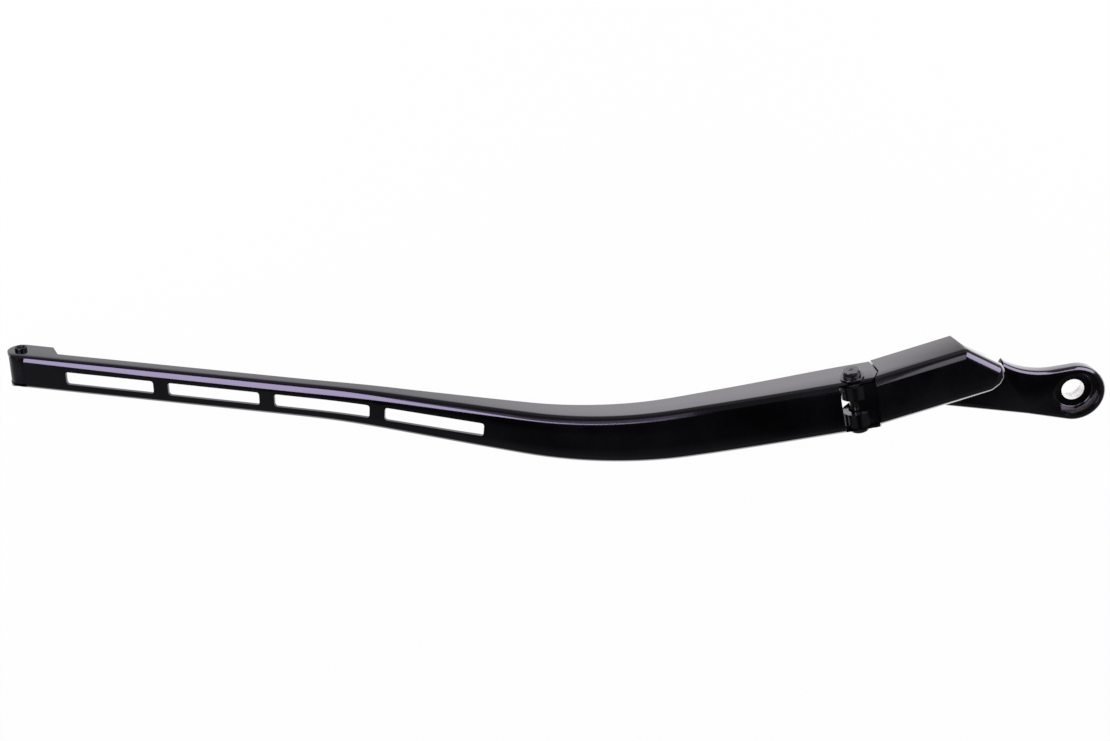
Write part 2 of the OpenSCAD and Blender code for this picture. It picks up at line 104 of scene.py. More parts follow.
# %% Named sizes of the arm, in millimetres and degrees
REACH, ROOT_W, TIP_W, ROOT_DEPTH, TIP_DEPTH = 482.2, 30.0, 20.8, 24.0, 9.0
SHEET, EDGE_R, FACE_RISE, ROUND_ROOT, ROUND_TIP = 1.8, 3.2, 9.2, 5.4, 4.4
ROOT_HEADING, BEND_AT, BEND_LEN, BEND_TURN = 12.4, 138.0, 86.0, 17.4
KINK_AT, KINK_LEN, KINK_TURN = 281.0, 50.0, 3.5
ROOT_FALL, TIP_FALL, FALL_AT, FALL_LEN = 3.0, 10.0, 122.0, 180.0
TAPER_AT, WAIST_AT = BEND_AT - 40, 300.0
SLOT_COUNT, SLOT_LEN, SLOT_GROW, SLOT_W = 4, 53.0, 1.2, 7.8
SLOT_BRIDGE, SLOT_START, SLOT_R = 8.8, 30.8, 1.6
FACE_GAP, LUG_LEN = 8.6, 13.6
TIP_FACE_GAP, TIP_LUG_R, TIP_LUG_LEN, TIP_DROP = 5.4, 7.6, 19.7, 9.0
LINE_STEP, SMOOTH_STEP = 4, 9
HINGE = joint_at["arm_fold"]
FACE_Z = HINGE.z + FACE_RISE


def ramp(x):
    return max(0.0, min(1.0, x))


def heading(s):
    bend = BEND_TURN * ramp((s - BEND_AT) / BEND_LEN + 0.5)
    kink = KINK_TURN * ramp((s - KINK_AT) / KINK_LEN + 0.5)
    return math.radians(ROOT_HEADING + (kink - bend))


def fall(s):
    change = (TIP_FALL - ROOT_FALL) * ramp((s - FALL_AT) / FALL_LEN + 0.5)
    return math.radians(ROOT_FALL + change)


def on_line(s):
    """The middle of the face at the distance s from the hinge pin."""
    n = max(1, math.ceil(abs(s) / LINE_STEP))
    at = Vector((HINGE.x, HINGE.y, FACE_Z))
    for i in range(n):
        a, f = heading((i + 0.5) * s / n), fall((i + 0.5) * s / n)
        at += s / n * Vector((-math.cos(a) * math.cos(f), -math.sin(a) * math.cos(f), -math.sin(f)))
    return at


def blend(s, table):
    """A value read from pairs of place and value, averaged over five places near s."""
    def look(x):
        if x <= table[0][0]:
            return table[0][1]
        for (x0, v0), (x1, v1) in zip(table, table[1:]):
            if x <= x1:
                return v0 + (v1 - v0) * (x - x0) / (x1 - x0)
        return table[-1][1]
    weights = {-2: 1, -1: 2, 0: 3, 1: 2, 2: 1}
    return sum(w * look(s + SMOOTH_STEP * k) for k, w in weights.items()) / sum(weights.values())


def width_at(s):
    return blend(s, [(TAPER_AT, ROOT_W), (WAIST_AT, TIP_W)])


def depth_at(s):
    if s > REACH - TIP_LUG_LEN:
        return TIP_DROP + TIP_LUG_R
    return blend(s, [(8, ROOT_DEPTH), (TAPER_AT, ROOT_DEPTH - 4.5),
                     (BEND_AT + 12, ROOT_DEPTH - 5.8), (WAIST_AT - 45, TIP_DEPTH + 2.5),
                     (WAIST_AT, TIP_DEPTH + 1), (REACH, TIP_DEPTH - 0.4)])


def edge_at(s):
    """Radius of the long folded edge, which the press tool draws tighter towards the tip."""
    return blend(s, [(WAIST_AT, ROUND_ROOT), (REACH, ROUND_TIP)])


def at_arm(s):
    """Frame on the face: X back along the arm, Y across it, Z off the face."""
    return (Matrix.Translation(on_line(s)) @ Matrix.Rotation(heading(s), 4, "Z")
            @ Matrix.Rotation(-fall(s), 4, "Y"))


AT_HINGE = Matrix.Translation(HINGE) @ Matrix.Rotation(math.radians(ROOT_HEADING), 4, "Z")
AT_TIP = at_arm(REACH) @ Matrix.Translation((0, 0, -TIP_DROP))
for word, spot in (("tip pin", AT_TIP.translation), ("its joint", joint_at["adapter_swivel"])):
    print(word, "at", [round(v, 3) for v in spot])

# %% [markdown]
# ## Helpers for solid pieces
#
# Most parts of such an arm are plates, turned pins and rings. Each is a flat outline that bmesh
# extrudes or spins. Booleans join and cut castings, as a machinist would drill them. They run in
# millimetres and in the piece's own frame, where flat sides line up exactly and leave no slivers.
# Seating a piece then puts its mesh in metres in the place that the CAD gives.

# %% From a bmesh to a finished piece
def piece_from(bm, name, place=Matrix()):
    """An object from a bmesh, moved by place within the piece's own frame."""
    bmesh.ops.remove_doubles(bm, verts=bm.verts, dist=0.0005)
    bmesh.ops.transform(bm, matrix=place, verts=bm.verts)
    mesh = bpy.data.meshes.new(name)
    bm.to_mesh(mesh)
    bm.free()
    obj = bpy.data.objects.new(name, mesh)
    bpy.context.collection.objects.link(obj)
    return obj


def seat(obj, place=Matrix(), smooth_below=32):
    """Puts a finished mesh in its place on the arm, in metres, and shades it."""
    obj.data.transform(Matrix.Scale(MM, 4) @ place)
    obj.data.shade_smooth()
    obj.data.set_sharp_from_angle(angle=math.radians(smooth_below))
    return obj


def settle(obj):
    """Turns a piece's modifiers into its mesh."""
    bpy.context.view_layer.update()
    made = bpy.data.meshes.new_from_object(obj.evaluated_get(bpy.context.evaluated_depsgraph_get()))
    obj.modifiers.clear()
    obj.data = made
    tidy_bm = bmesh.new()
    tidy_bm.from_mesh(made)
    bmesh.ops.remove_doubles(tidy_bm, verts=tidy_bm.verts, dist=0.001)
    bmesh.ops.dissolve_degenerate(tidy_bm, edges=tidy_bm.edges, dist=0.001)
    tidy_bm.to_mesh(made)
    tidy_bm.free()


def carve(obj, *tools, how="DIFFERENCE"):
    """Cuts tools out of a piece, or joins them to it, and removes them."""
    for tool in tools:
        step = obj.modifiers.new("carve", "BOOLEAN")
        step.operation, step.solver, step.object = how, "EXACT", tool
        step.material_mode = "TRANSFER" if tool.data.materials else "INDEX"
        settle(obj)
        bpy.data.objects.remove(tool)


def soft_edges(obj, name, width, segments, above):
    """A live bevel on every edge that turns by more than so many degrees."""
    step = obj.modifiers.new(name, "BEVEL")
    step.width, step.segments = width, segments
    step.limit_method, step.angle_limit = "ANGLE", math.radians(above)
    return step

# %% Outlines, and the solids that are made from them
def arc(centre, radius, start, end, steps):
    """Points on an arc, from start to end in degrees."""
    angles = [math.radians(start + (end - start) * k / steps) for k in range(steps + 1)]
    return [(centre[0] + radius * math.cos(a), centre[1] + radius * math.sin(a)) for a in angles]


def oblong(x0, x1, y0, y1):
    """The four corners of a straight cut or block."""
    return [(x0, y0), (x1, y0), (x1, y1), (x0, y1)]


def round_off(bm, geom, radius, steps, affect="EDGES"):
    bmesh.ops.bevel(bm, geom=geom, offset=radius, segments=steps, affect=affect, profile=0.5,
                    material=-1)


def extruded(bm, face, by):
    """Pulls a face out into a solid and turns all its faces outwards."""
    grown = bmesh.ops.extrude_face_region(bm, geom=[face])["geom"]
    moved = [v for v in grown if isinstance(v, bmesh.types.BMVert)]
    bmesh.ops.translate(bm, vec=by, verts=moved)
    bmesh.ops.recalc_face_normals(bm, faces=bm.faces)


def slab(name, outline, low, high, place=Matrix(), edge=0.0, corner=0.0, steps=5):
    """A plate with a flat outline in XY; corner and edge round its sides and its upper rim."""
    bm = bmesh.new()
    extruded(bm, bm.faces.new([bm.verts.new((x, y, low)) for x, y in outline]), (0, 0, high - low))
    if corner:
        tall = 0.5 * (high - low)
        upright = [e for e in bm.edges if abs(e.verts[0].co.z - e.verts[1].co.z) > tall]
        round_off(bm, upright, corner, steps)
    if edge:
        rim = [e for e in bm.edges if min(v.co.z for v in e.verts) > high - 0.001]
        round_off(bm, rim, edge, steps)
    return piece_from(bm, name, place)


def block(name, x, y, z, place=Matrix()):
    return slab(name, oblong(*x, *y), *z, place)


def sideways(name, outline, y0, y1, place=Matrix()):
    """A plate whose outline is given in X and Z, from y0 to y1 in the frame of place."""
    turn = Matrix(((1, 0, 0, 0), (0, 0, -1, 0), (0, 1, 0, 0), (0, 0, 0, 1)))
    return slab(name, outline, -y1, -y0, place @ turn)


def turned(name, profile, place=Matrix(), steps=48):
    """A turned piece: radius and height pairs, spun about Z from the axis out and back."""
    bm = bmesh.new()
    line = [bm.verts.new((r, 0, z)) for r, z in profile]
    edges = [bm.edges.new(pair) for pair in zip(line, line[1:])]
    if profile[0][0] > 0:
        edges.append(bm.edges.new((line[-1], line[0])))
    bmesh.ops.spin(bm, geom=line + edges, cent=(0, 0, 0), axis=(0, 0, 1), angle=math.tau,
                   steps=steps, use_merge=True)
    bmesh.ops.remove_doubles(bm, verts=bm.verts, dist=0.0005)
    bmesh.ops.recalc_face_normals(bm, faces=bm.faces)
    return piece_from(bm, name, place)


def rod(name, radius, low, high, place=Matrix(), steps=48):
    """A plain round rod along Z, for bores and bosses."""
    return turned(name, [(0, low), (radius, low), (radius, high), (0, high)], place, steps)


def across(y, place=Matrix()):
    """Frame whose Z runs along a pin, from y outwards."""
    turn = Matrix(((1, 0, 0, 0), (0, 0, 1, 0), (0, -1, 0, 0), (0, 0, 0, 1)))
    return place @ Matrix.Translation((0, y, 0)) @ turn

# %% [markdown]
# ## Finishes
#
# The arm and head carry one gloss black coat, pins are black oxide or zinc, bushes are sintered
# bronze. Effects that several finishes share are node groups with named sockets: a paint film
# with its orange peel and haze, the grain of cast or sintered metal, and fine turned lines. They
# read Object coordinates, so that nothing slides when a body moves. A single noise as colour
# would do for a far view, but roughness and height carry the finish in a close one.

# %% Shared effects as node groups
def effect(name, inputs, outputs):
    """A new node group with its sockets; gives the tree and a function that adds linked nodes."""
    tree = bpy.data.node_groups.new(name, "ShaderNodeTree")
    new_socket = tree.interface.new_socket
    for label, default in inputs:
        new_socket(label, in_out="INPUT", socket_type="NodeSocketFloat").default_value = default
    for label in outputs:
        new_socket(label, in_out="OUTPUT", socket_type="NodeSocketFloat")
    return tree, adder(tree)


def adder(tree):
    """A function that adds a node to the tree, sets it up and links what is given as a socket."""
    def add(kind, links=None, **settings):
        node = tree.nodes.new(kind)
        for key, value in settings.items():
            setattr(node, key, value)
        for socket, value in (links or {}).items():
            if isinstance(value, bpy.types.NodeSocket):
                tree.links.new(value, node.inputs[socket])
            else:
                node.inputs[socket].default_value = value
        return node
    return add


def noise(add, coords, scale, detail, roughness=0.5):
    made = add("ShaderNodeTexNoise", {"Vector": coords, "Scale": scale, "Detail": detail,
                                      "Roughness": roughness})
    return made.outputs["Fac"]


def spread(add, value, low, high):
    """Stretches the part of a noise between low and high to the whole range from 0 to 1."""
    made = add("ShaderNodeMapRange", {"Value": value, "From Min": low, "From Max": high})
    return made.outputs["Result"]


def paint_film():
    """Orange peel of a cured coat, and a haze of handling over it."""
    tree, add = effect("paint_film", [("Peel", 420.0), ("Haze Size", 26.0)], ["Height", "Haze"])
    given, coords = add("NodeGroupInput"), add("ShaderNodeTexCoord").outputs["Object"]
    peel = noise(add, coords, given.outputs["Peel"], 1.0, 0.4)
    haze = noise(add, coords, given.outputs["Haze Size"], 5.0, 0.62)
    add("NodeGroupOutput", {"Height": peel, "Haze": spread(add, haze, 0.38, 0.68)})
    return tree


def metal_grain():
    """Fine grain with a few deeper pores, as on cast or sintered metal."""
    tree, add = effect("metal_grain", [("Grain", 1500.0), ("Pores", 900.0)], ["Height", "Pore"])
    given, coords = add("NodeGroupInput"), add("ShaderNodeTexCoord").outputs["Object"]
    grain = noise(add, coords, given.outputs["Grain"], 3.0)
    cells = add("ShaderNodeTexVoronoi", {"Vector": coords, "Scale": given.outputs["Pores"]})
    pore = spread(add, cells.outputs["Distance"], 0.22, 0.08)
    sunk = add("ShaderNodeMath", {0: grain, 1: pore}, operation="SUBTRACT")
    add("NodeGroupOutput", {"Height": sunk.outputs[0], "Pore": pore})
    return tree


def turned_lines():
    """Close lines that a lathe leaves round a pin, along one axis of the object."""
    tree, add = effect("turned_lines", [("Lines", 2600.0), ("Blotch", 90.0)], ["Height", "Tarnish"])
    given, coords = add("NodeGroupInput"), add("ShaderNodeTexCoord").outputs["Object"]
    squeezed = add("ShaderNodeMapping", {"Vector": coords, "Scale": (0.12, 1.0, 0.12)})
    lines = noise(add, squeezed.outputs[0], given.outputs["Lines"], 2.0)
    blotch = noise(add, coords, given.outputs["Blotch"], 6.0, 0.7)
    add("NodeGroupOutput", {"Height": lines, "Tarnish": spread(add, blotch, 0.42, 0.66)})
    return tree


effects = {"film": (paint_film(), "Haze"), "grain": (metal_grain(), "Pore"),
           "lines": (turned_lines(), "Tarnish")}
print("effects:", ", ".join(tree.name for tree, mask in effects.values()))

# %% A finish is a shader plus one or two effects
def relief(add, kind, sizes, bump, normal=None):
    """An effect's node in a material, and the normal that its height gives."""
    look = add("ShaderNodeGroup", node_tree=effects[kind][0])
    for socket, value in zip(look.inputs, sizes):
        socket.default_value = value
    strength, depth = bump
    links = {"Height": look.outputs["Height"], "Strength": strength, "Distance": depth * MM}
    if normal is not None:
        links["Normal"] = normal
    return look, add("ShaderNodeBump", links).outputs["Normal"]


def finish(name, colour, worn, rough, kind, sizes, bump, metallic=0.0, ior=1.5, tint=(1, 1, 1),
           coat=0.0, coat_rough=0.1, coat_ior=1.5, second=None):
    """colour and worn are mixed by the effect's mask, and so are the two roughnesses."""
    mat = bpy.data.materials.new(name)
    mat.use_nodes = True
    mat.node_tree.nodes.clear()
    add = adder(mat.node_tree)
    look, normal = relief(add, kind, sizes, bump)
    if second:
        normal = relief(add, *second, normal)[1]
    mask = look.outputs[effects[kind][1]]
    shade = add("ShaderNodeMix", {"Factor": mask, 6: (*colour, 1), 7: (*worn, 1)}, data_type="RGBA")
    roughness = add("ShaderNodeMapRange", {"Value": mask, "To Min": rough[0], "To Max": rough[1]})
    shader = add("ShaderNodeBsdfPrincipled", {
        "Base Color": shade.outputs[2], "Metallic": metallic,
        "Roughness": roughness.outputs["Result"], "IOR": ior, "Specular Tint": (*tint, 1),
        "Coat Weight": coat, "Coat Roughness": coat_rough, "Coat IOR": coat_ior, "Normal": normal})
    add("ShaderNodeOutputMaterial", {"Surface": shader.outputs[0]})
    return mat

# %% The finishes of this arm
SKY_TINT = (0.93, 0.86, 1.0)
gloss_coat = finish("gloss_coat", (0.0012, 0.001, 0.0012), (0.003, 0.0028, 0.0032), (0.08, 0.14),
                    "film", (420, 26), (0.2, 0.02), ior=1.9, tint=SKY_TINT,
                    coat=0.6, coat_rough=0.04, coat_ior=1.6)
cast_coat = finish("cast_coat", (0.0012, 0.001, 0.0012), (0.0032, 0.003, 0.0035), (0.11, 0.2),
                   "film", (300, 34), (0.25, 0.025), ior=1.9, tint=SKY_TINT,
                   coat=0.6, coat_rough=0.07, coat_ior=1.6,
                   second=("grain", (1400, 500), (0.08, 0.015)))
bare_bore = finish("bare_bore", (0.55, 0.53, 0.54), (0.32, 0.29, 0.3), (0.24, 0.42),
                   "lines", (3000, 120), (0.3, 0.02), metallic=1.0)
black_oxide = finish("black_oxide", (0.004, 0.0037, 0.004), (0.014, 0.012, 0.012), (0.16, 0.3),
                     "lines", (2400, 150), (0.3, 0.02), ior=1.8, coat=0.3, coat_rough=0.12)
dark_zinc = finish("dark_zinc", (0.035, 0.034, 0.038), (0.018, 0.018, 0.02), (0.18, 0.34),
                   "lines", (2600, 160), (0.25, 0.02), metallic=1.0)
spring_wire = finish("spring_wire", (0.32, 0.31, 0.3), (0.16, 0.14, 0.13), (0.22, 0.4),
                     "lines", (3200, 240), (0.3, 0.02), metallic=1.0)
sintered_bronze = finish("sintered_bronze", (0.45, 0.27, 0.12), (0.1, 0.06, 0.035), (0.3, 0.6),
                         "grain", (1800, 1400), (0.5, 0.05), metallic=1.0)
dark_nylon = finish("dark_nylon", (0.02, 0.02, 0.019), (0.035, 0.033, 0.03), (0.4, 0.52),
                    "film", (700, 60), (0.2, 0.02))
moulded_black = finish("moulded_black", (0.003, 0.003, 0.003), (0.008, 0.008, 0.008), (0.3, 0.42),
                       "film", (900, 50), (0.3, 0.03), second=("grain", (2200, 1600), (0.2, 0.02)))


def give(piece, body, slot, material, *nodes):
    """Body, record slot (not used), finish, and the CAD nodes that a piece stands for."""
    piece.data.materials.clear()
    piece.data.materials.append(material)
    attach(piece, body)
    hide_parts(*nodes)

# %% [markdown]
# ## The pressed channel
#
# The real arm is one strip of steel, folded into a channel, so it is modelled as a folded sheet:
# a line of a few edges across the strip is extruded from station to station, the slots' faces are
# deleted, and Solidify gives the steel its thickness. Cutting slots with booleans is shorter, but
# this keeps clean quads, which glossy paint shows off.

# %% Stations along the arm, with one at each end of every slot
def slot_ends(k):
    """Where slot k begins and ends along the arm, counted from the tip."""
    half = (SLOT_LEN + k * SLOT_GROW) / 2
    before = k * (SLOT_LEN + SLOT_BRIDGE)
    middle = REACH - SLOT_START - SLOT_LEN / 2 - before - k * k * SLOT_GROW / 2
    return middle - half, middle + half


BAY, FIRST_AT = 6, -16
slots = [slot_ends(k) for k in range(SLOT_COUNT)]
ear_starts, ear_full = REACH - TIP_LUG_LEN - 3, REACH - TIP_LUG_LEN + 3.4
fixed = [FIRST_AT, *[end for slot in slots for end in slot], ear_starts, ear_full,
         REACH + TIP_LUG_R + 1]
bays = range(FIRST_AT + BAY, int(REACH), BAY)
stations = sorted(fixed + [s for s in bays if min(abs(s - f) for f in fixed) > BAY / 2])
print(len(stations), "stations,", SLOT_COUNT, "slots from", [round(a, 1) for a, b in slots])

# %% Draw the strip across, and extrude it along
FOLD_STEPS = 10


def strip(s):
    """Points across the outside of the sheet, in the frame at_arm: flange, face, flange."""
    w, d, bend = width_at(s) / 2, depth_at(s), edge_at(s)
    fold = arc((w - bend, -bend), bend, 90, 0, FOLD_STEPS)
    half = [(0.0, 0.0), (SLOT_W / 2, 0.0)] + fold + [(w, -(d + bend) / 2), (w, -d)]
    return [(-y, z) for y, z in reversed(half)] + half[1:]


to_hinge = AT_HINGE.inverted()
TIP_HERE = to_hinge @ AT_TIP


def at_station(s):
    return to_hinge @ at_arm(s)


def outside_at(s):
    return [at_station(s) @ Vector((0, y, z)) for y, z in strip(s)]


sheet_bm = bmesh.new()
across_line = [sheet_bm.verts.new(point) for point in outside_at(stations[0])]
row = [sheet_bm.edges.new(pair) for pair in zip(across_line, across_line[1:])]
for s in stations[1:]:
    grown = bmesh.ops.extrude_edge_only(sheet_bm, edges=row)["geom"]
    row = [g for g in grown if isinstance(g, bmesh.types.BMEdge)]
    fresh = {v for e in row for v in e.verts}
    across_line = [min(fresh, key=lambda v: (v.co - old.co).length) for old in across_line]
    for v, point in zip(across_line, outside_at(s)):
        v.co = point
bmesh.ops.recalc_face_normals(sheet_bm, faces=sheet_bm.faces)
top_face = max(sheet_bm.faces, key=lambda f: f.calc_center_median().z)
if top_face.normal.z < 0:
    bmesh.ops.reverse_faces(sheet_bm, faces=sheet_bm.faces)
print("strip:", len(sheet_bm.faces), "faces")

# %% Open the slots and round their corners
slot_corners = []
for s in [end for slot in slots for end in slot]:
    for side in (-1, 1):
        spot = at_station(s) @ Vector((0, side * SLOT_W / 2, 0))
        slot_corners.append(min(sheet_bm.verts, key=lambda v: (v.co - spot).length))
round_off(sheet_bm, slot_corners, SLOT_R, 5, affect="VERTICES")
gone = []
for a, b in slots:
    inside = [s for s in stations if a - 0.01 < s < b + 0.01]
    for s0, s1 in zip(inside, inside[1:]):
        to_middle = at_station((s0 + s1) / 2).inverted()
        for f in sheet_bm.faces:
            c = to_middle @ f.calc_center_bounds()
            if abs(c.x) < 0.9 and abs(c.y) < SLOT_W * 0.36 and abs(c.z) < 1.5:
                gone.append(f)
bmesh.ops.delete(sheet_bm, geom=gone, context="FACES")
arm = piece_from(sheet_bm, "pressed_channel")
thick = arm.modifiers.new("sheet", "SOLIDIFY")
thick.thickness, thick.offset, thick.use_even_offset = SHEET, -1, True
settle(arm)
print("slots opened,", len(gone), "faces removed")

# %% [markdown]
# ## The arm's two ends
#
# At the hinge the face stops short of the pin and the flanges run on as lugs with a chevron
# outline. At the tip they end in round ears. Both outlines are cut from the side with one flat
# tool each, as a press tool would. Cutting comes before the small bevel that softens sheared steel.

# %% Shear the ends, then soften the sheared edges
# The tools reach FAR past the part. Those for the face stay a HAIR inside the flanges.
FAR, HAIR = 90.0, 0.02
root_in, tip_in = ROOT_W / 2 - SHEET, TIP_W / 2 - SHEET
lug_front, lug_back = FACE_RISE - EDGE_R, FACE_RISE - ROOT_DEPTH
face_cut, lug_cut = 0.4 - FACE_GAP, 0.6 - FACE_GAP
lug_line = [(lug_cut, lug_front), (LUG_LEN - 4.4, lug_front), (LUG_LEN - 3.0, lug_front - 0.5),
            (LUG_LEN - 2.2, lug_front - 1.9), (LUG_LEN - 0.3, -0.2), (LUG_LEN, -0.9),
            (LUG_LEN - 0.2, -1.8), (LUG_LEN - 1.4, lug_back * 0.75),
            (LUG_LEN - 2.4, lug_back - 2), (lug_cut, lug_back - 2)]
around_lug = lug_line + [(lug_cut, -FAR), (FAR / 2, -FAR), (FAR / 2, FAR), (lug_cut, FAR)]
carve(arm,
      sideways("face_end", oblong(face_cut, 30, -FAR, FAR), HAIR - root_in, root_in - HAIR),
      sideways("lug_end", around_lug, -ROOT_W, ROOT_W))
ear = ([(TIP_FACE_GAP, TIP_LUG_R)] + arc((0, 0), TIP_LUG_R, 90, 270, 24)
       + [(TIP_FACE_GAP, -TIP_LUG_R)])
around_ear = ear + [(TIP_FACE_GAP, -40), (-30, -40), (-30, 40), (TIP_FACE_GAP, 40)]
carve(arm,
      sideways("tip_face_end", oblong(-30, TIP_FACE_GAP, -40, 40), HAIR - tip_in, tip_in - HAIR,
               TIP_HERE),
      sideways("ear_end", around_ear, 0.3 - TIP_W, TIP_W + 0.3, TIP_HERE))
soft_edges(seat(arm, AT_HINGE, 30), "sheared edge", 0.28 * MM, 2, above=40)
print("channel:", len(arm.data.polygons), "faces before its bevel")

# %% [markdown]
# ## The cast head
#
# The head is one aluminium casting: a raised hollow body beside the arm, a lever, and an eye that
# clamps on the spindle. It is built as the pattern maker builds it, from simple blocks that are
# rounded first and joined after, because a bevel is most reliable on a clean block. The raised
# body is built from outlines that shrink as they rise: its edge radius comes close to the
# corner radius of its plan, where a bevel would fold over itself.

# %% The raised body, hollow below, with its leaning end wall
HEAD_HEADING, BODY_LONG, BODY_STEP, BODY_SHORT, BODY_FOOT = 19.5, 67.0, 1.5, 50.0, 5.0
HEAD_TOP, HEAD_WALL, NOTCH_GAP, PLAN_R, BODY_R = 3.6, 4.0, 0.9, 5.8, 5.4
SLANT, CORNER_LEAN, FAR_END = 45.7, 10.0, -14
half_w = ROOT_W / 2
low = BODY_STEP - half_w
SPINDLE = AT_HINGE.inverted()
BODY = (Matrix.Translation((LUG_LEN - 1, 0, -HINGE.z))
        @ Matrix.Rotation(math.radians(HEAD_HEADING - ROOT_HEADING), 4, "Z"))

body_plan = [(FAR_END, low), (BODY_LONG - 9, low), (BODY_LONG - 3.5, low + 2.4),
             (BODY_LONG - 0.4, low + 6), (BODY_LONG, low + 11.6), (BODY_SHORT + 0.6, half_w),
             (FAR_END, half_w)]


def plan_inside(shift, steps=8):
    """The body's plan with round corners, moved in by shift all round."""
    sides = []
    for (x0, y0), (x1, y1) in zip(body_plan, body_plan[1:] + body_plan[:1]):
        out = Vector((y1 - y0, x0 - x1)).normalized()
        sides.append((out, out.dot(Vector((x0, y0))) - shift))
    points = []
    for (n0, d0), (n1, d1) in zip(sides[-1:] + sides[:-1], sides):
        turn = n0.x * n1.y - n0.y * n1.x
        corner = Vector(((d0 * n1.y - d1 * n0.y) / turn, (n0.x * d1 - n1.x * d0) / turn))
        centre = corner - (PLAN_R - shift) * (n0 + n1) / (1 + n0.dot(n1))
        first = math.degrees(math.atan2(n0.y, n0.x))
        swing = math.degrees(math.atan2(turn, n0.dot(n1)))
        points += arc(centre, PLAN_R - shift, first, first + swing, steps)
    return points


def layered(name, layers, place):
    """A solid from outlines with equal numbers of points, one above the other."""
    bm = bmesh.new()
    rows = [[bm.verts.new((x, y, z)) for x, y in outline] for outline, z in layers]
    bm.faces.new(rows[0][::-1])
    bm.faces.new(rows[-1])
    for lower, upper in zip(rows, rows[1:]):
        for k in range(len(lower)):
            bm.faces.new((lower[k - 1], lower[k], upper[k], upper[k - 1]))
    bmesh.ops.recalc_face_normals(bm, faces=bm.faces)
    return piece_from(bm, name, place)


dome = [math.pi / 2 * k / 10 for k in range(11)]
rounded = [(plan_inside(BODY_R * (1 - math.cos(a))), FACE_Z - BODY_R * (1 - math.sin(a)))
           for a in dome]
head = layered("cast_head", [(plan_inside(0), BODY_FOOT)] + rounded, BODY)
head.data.materials.append(cast_coat)
lean = (BODY @ Matrix.Translation((BODY_SHORT + 0.6, half_w + 0.15, FACE_Z - BODY_R))
        @ Matrix.Rotation(math.radians(-SLANT), 4, "Z")
        @ Matrix.Rotation(math.radians(-CORNER_LEAN), 4, "X"))
hollow = [(-30, low + HEAD_WALL), (BODY_LONG - 22, low + HEAD_WALL),
          (BODY_SHORT - 8, half_w - HEAD_WALL), (-30, half_w - HEAD_WALL)]
carve(head,
      slab("lean_cut", oblong(-30, 50, 0, 30), -60, 0, lean),
      slab("hollow_cut", hollow, -1, FACE_Z - HEAD_TOP, BODY, edge=1.5, corner=2.5))
print("body:", len(head.data.polygons), "faces")

# %% Room for the channel's lugs
CHEEK_T, THRUST_T, SIDE_PLAY, KNUCKLE_R, KNUCKLE_SKIN, SLOT_HALF = 4.0, 0.8, 0.1, 7.4, 7.9, 4.2
PIN_D, ANCHOR_D, ANCHOR_X, ANCHOR_Z, BUSH_R = 7.0, 4.0, 2.5, 7.9, 4.55
cheek_out = root_in - THRUST_T - SIDE_PLAY
cheek_in = cheek_out - CHEEK_T
room_foot = lug_back - 2 - NOTCH_GAP
lug_room = [(-40, room_foot), (LUG_LEN - 2.4 + NOTCH_GAP, room_foot),
            (LUG_LEN - 1.4 + NOTCH_GAP, lug_back * 0.75), (LUG_LEN + NOTCH_GAP, -0.8),
            (LUG_LEN - 3.2 + NOTCH_GAP * 0.7, lug_front + NOTCH_GAP),
            (-40, lug_front + NOTCH_GAP)]
right_across = (-ROOT_W, ROOT_W)
carve(head,
      sideways("notch_upper", lug_room, cheek_out, ROOT_W),
      sideways("notch_lower", lug_room, -ROOT_W, -cheek_out),
      block("notch_face", (-30, LUG_LEN - 2.4), right_across, (lug_front, lug_front + 40)),
      block("notch_back", (-40, LUG_LEN - 6), right_across, (-29, 31)))
print("cheeks reach from", round(cheek_in, 2), "to", round(cheek_out, 2), "mm on each side")

# %% The knuckle: two cheeks round the pins, and the recessed wall between the lugs
# The two arcs meet where the circle round the hinge pin crosses the one round the anchor pin.
wall_foot = BODY_FOOT - HINGE.z + 1
cheek_line = ([(19, lug_front)] + arc((0, 0), KNUCKLE_SKIN, 49.4, 260.5, 40)
              + arc((ANCHOR_X, -ANCHOR_Z), ANCHOR_D / 2 + 2, 171, 299, 20)
              + [(LUG_LEN - 7, lug_back * 0.9), (LUG_LEN + 4, wall_foot), (19, wall_foot)])


def bridge_bar(x0, x1, foot, top, radius):
    """A bar across the cheeks, its two long upper edges rounded."""
    bm = bmesh.new()
    corners = [bm.verts.new((x0, y, z)) for y, z in oblong(-cheek_out, cheek_out, foot, top)]
    extruded(bm, bm.faces.new(corners), (x1 - x0, 0, 0))
    along = [e for e in bm.edges if abs(e.verts[0].co.x - e.verts[1].co.x) > 1]
    round_off(bm, [e for e in along if e.verts[0].co.z > top - 0.01], radius, 8)
    return piece_from(bm, "bridge")


carve(head,
      sideways("cheek_upper", cheek_line, SLOT_HALF + 0.1, cheek_out),
      sideways("cheek_lower", cheek_line, -cheek_out, -SLOT_HALF - 0.1),
      bridge_bar(2.3 - KNUCKLE_R, LUG_LEN + 2, lug_front - HEAD_TOP, lug_front, 2.6), how="UNION")
print("knuckle joined:", len(head.data.polygons), "faces")

